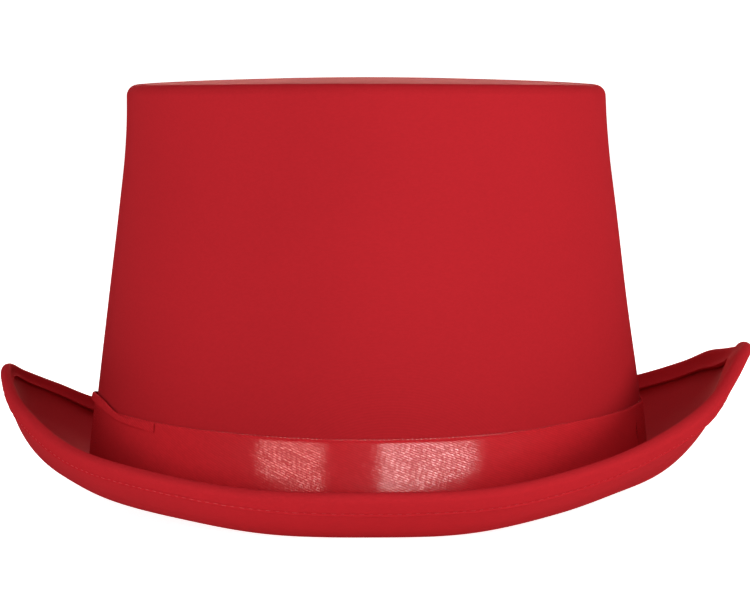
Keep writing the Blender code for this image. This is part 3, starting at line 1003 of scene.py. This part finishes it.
def pleat_cloth():
    """Slanting pleat of ribbon at the left, a closed skin whose hems are rounded."""
    hat = sizes()
    places = TUCK["bearing"]
    bearings = np.linspace(places[0], places[-1], 160)
    _, low, high, low_stand, high_stand = (
        smooth(places, values, bearings)[:, None] for values in TUCK.values()
    )
    across = round_steps(21)[None, :]
    shares = low + (high - low) * across
    stand = low_stand + (high_stand - low_stand) * across
    stand_off = hat.ribbon_cloth + 2 * HEM_GAP + hat.band_wall * stand
    face, out = ribbon_points(bearings[:, None], shares, stand_off)
    width = hat.band_width * (high - low)
    fade = ramp(places[-1] - bearings, 0.0, PLEAT_FADE)[:, None]
    wall = PLEAT_WALL * rounded(across * width, width, RIBBON_ROUND) * fade
    return shell(face, out, wall)


class SewCrown(bpy.types.Operator):
    """Side of the crown"""

    bl_idname = "top_hat.sew_crown"
    bl_label = "Crown"

    def execute(self, context):
        points = crown_cloth()
        along, across = map_lengths(points, True, False)
        material = satin("crown_satin", rings=0.06, turn=along[-1, 0])
        piece = make_piece("crown_cloth", points, along, across, material)
        thicken(piece, sizes().crown_wall, -1)
        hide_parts("crown_side")
        return {"FINISHED"}


class SewTip(bpy.types.Operator):
    """Top of the crown"""

    bl_idname = "top_hat.sew_tip"
    bl_label = "Tip"

    def execute(self, context):
        points = tip_cloth()
        closed = np.concatenate((points, points[:1]))
        material = satin("tip_satin", specular=0.12)
        piece = make_piece("tip_cloth", points, closed[..., 0], closed[..., 1], material)
        thicken(piece, sizes().crown_wall, -1)
        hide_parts("crown_tip")
        return {"FINISHED"}


class SewBrim(bpy.types.Operator):
    """Curled brim"""

    bl_idname = "top_hat.sew_brim"
    bl_label = "Brim"

    def execute(self, context):
        points = brim_cloth()
        along, across = map_lengths(points, True, False)
        material = satin("brim_satin", specular=0.008)
        piece = make_piece("brim_cloth", points, along, across, material)
        thicken(piece, sizes().brim_cloth, -1)
        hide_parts("brim")
        return {"FINISHED"}


class SewBinding(bpy.types.Operator):
    """Binding folded round the brim's edge, with its stitches"""

    bl_idname = "top_hat.sew_binding"
    bl_label = "Binding"

    def execute(self, context):
        points = binding_cloth()
        along, across = map_lengths(points, True, True)
        material = satin("binding_satin", specular=0.0004)
        piece = make_piece("binding_cloth", points, along, across, material, close_rows=True)
        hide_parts("brim_binding")
        hat = sizes()
        radii = (hat.stitch_pitch * STITCH_SHARE, hat.thread / 2, hat.thread / 2)
        stitches = small_beads("hem_stitches", *stitch_row(), radii, thread("hem_thread", 0.38))
        width = binding_skeleton(turn_bearings(360))[3].mean()
        return {"FINISHED"}


class TieRibbon(bpy.types.Operator):
    """Ribbon round the crown, the loops of its edge and its pleat"""

    bl_idname = "top_hat.tie_ribbon"
    bl_label = "Ribbon"

    def execute(self, context):
        points = ribbon_cloth()
        along, across = map_lengths(points, False, True)
        piece = make_piece(
            "ribbon_cloth", points, along, across, ribbon_satin("band_ribbon", 1.0),
            close_turns=False, close_rows=True
        )
        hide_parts("hat_band")
        picots = small_beads(
            "ribbon_picots", *picot_row(), PICOT_RADII, thread("picot_thread", 0.2)
        )
        points = pleat_cloth()
        along, across = map_lengths(points, False, True)
        pleat = make_piece(
            "ribbon_pleat", points, along, across, ribbon_satin("tuck_ribbon", 0.05),
            close_turns=False, close_rows=True
        )
        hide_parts("band_tuck")
        return {"FINISHED"}


class SetStage(bpy.types.Operator):
    """Camera, pale floor and soft studio light"""

    bl_idname = "top_hat.set_stage"
    bl_label = "Stage"

    def execute(self, context):
        scene = context.scene
        stage = scene.hat_stage
        camera = bpy.data.objects.new("camera", bpy.data.cameras.new("camera"))
        camera.data.sensor_width = 36.0
        camera.data.lens = stage.focal_length
        camera.data.clip_start = 0.05
        camera.data.clip_end = 50.0
        camera.location = stage.camera_place
        camera.rotation_euler = (np.pi / 2 - stage.camera_tilt, 0.0, 0.0)
        scene.collection.objects.link(camera)
        scene.camera = camera
        scene.view_settings.view_transform = "Standard"
        studio_floor(stage)
        world = bpy.data.worlds.new("room_light")
        world.use_nodes = True
        tree = world.node_tree
        feed(tree, tree.nodes["Background"], {"Color": (1.0, 1.0, 1.0, 1.0), "Strength": stage.sky})
        world.cycles_visibility.glossy = False
        scene.world = world
        for box in LIGHTS:
            soft_box(scene, *box)
        return {"FINISHED"}


def soft_box(scene, name, place, target, width, height, watts, colour, lights_cloth):
    """Rectangle of soft light that faces its target."""
    light = bpy.data.lights.new(name, "AREA")
    light.shape = "RECTANGLE"
    light.size = width
    light.size_y = height
    light.energy = watts
    light.color = colour
    lamp = bpy.data.objects.new(name, light)
    lamp.location = place
    lamp.visible_camera = False
    lamp.visible_diffuse = lights_cloth
    lamp.visible_glossy = not lights_cloth
    aim = Vector(target) - Vector(place)
    lamp.rotation_euler = aim.to_track_quat("-Z", "Y").to_euler()
    scene.collection.objects.link(lamp)


def studio_floor(stage):
    """Light table that sweeps up at the back: flat, a quarter circle, then upright."""
    reach, radius, top = 6.0, 2.0, 6.0
    arc = np.linspace(-np.pi / 2, 0.0, 25)
    depth = np.concatenate(((-reach,), reach - radius + radius * np.cos(arc), (reach,)))
    height = np.concatenate(((0.0,), radius + radius * np.sin(arc), (top,)))
    across = np.array((-reach, reach))[:, None]
    points = np.stack(np.broadcast_arrays(across, depth[None, :], height[None, :]), axis=-1)
    rows = points.shape[1]
    faces = [(row, rows + row, rows + row + 1, row + 1) for row in range(rows - 1)]
    material, tree, shader = new_material("studio_paper")
    seen = add_node(tree, "ShaderNodeLightPath", {}).outputs["Is Camera Ray"]
    feed(tree, shader, {
        "Base Color": (*stage.floor_colour, 1.0),
        "Roughness": 0.9,
        "Specular IOR Level": 0.1,
        "Emission Color": (1.0, 1.0, 1.0, 1.0),
        "Emission Strength": math_node(
            tree, "MULTIPLY_ADD", seen, stage.floor_white, stage.floor_glow
        ),
    })
    floor = new_object("studio_floor", points, faces, material)
    floor.visible_glossy = False
    return floor


class HatPanel(bpy.types.Panel):
    """Sizes, colours and pieces of the hat"""

    bl_idname = "VIEW3D_PT_top_hat"
    bl_label = "Top Hat"
    bl_space_type = "VIEW_3D"
    bl_region_type = "UI"
    bl_category = "Top Hat"

    def draw(self, context):
        layout = self.layout
        for group in (context.scene.hat_sizes, context.scene.hat_cloth, context.scene.hat_stage):
            box = layout.box()
            for name in group.__annotations__:
                box.prop(group, name)
        for step in STEPS:
            layout.operator(step.bl_idname)


STEPS = (SewCrown, SewTip, SewBrim, SewBinding, TieRibbon, SetStage)
GROUPS = (("hat_sizes", HatSizes), ("hat_cloth", HatCloth), ("hat_stage", HatStage))


def register():
    for _, group in GROUPS:
        bpy.utils.register_class(group)
    for name, group in GROUPS:
        setattr(bpy.types.Scene, name, bpy.props.PointerProperty(type=group))
    for item in (*STEPS, HatPanel):
        bpy.utils.register_class(item)


def unregister():
    for item in (HatPanel, *reversed(STEPS)):
        bpy.utils.unregister_class(item)
    for name, group in reversed(GROUPS):
        delattr(bpy.types.Scene, name)
        bpy.utils.unregister_class(group)


def main():
    register()
    for step in STEPS:
        family, name = step.bl_idname.split(".")
        getattr(getattr(bpy.ops, family), name)()


if __name__ == "__main__":
    main()
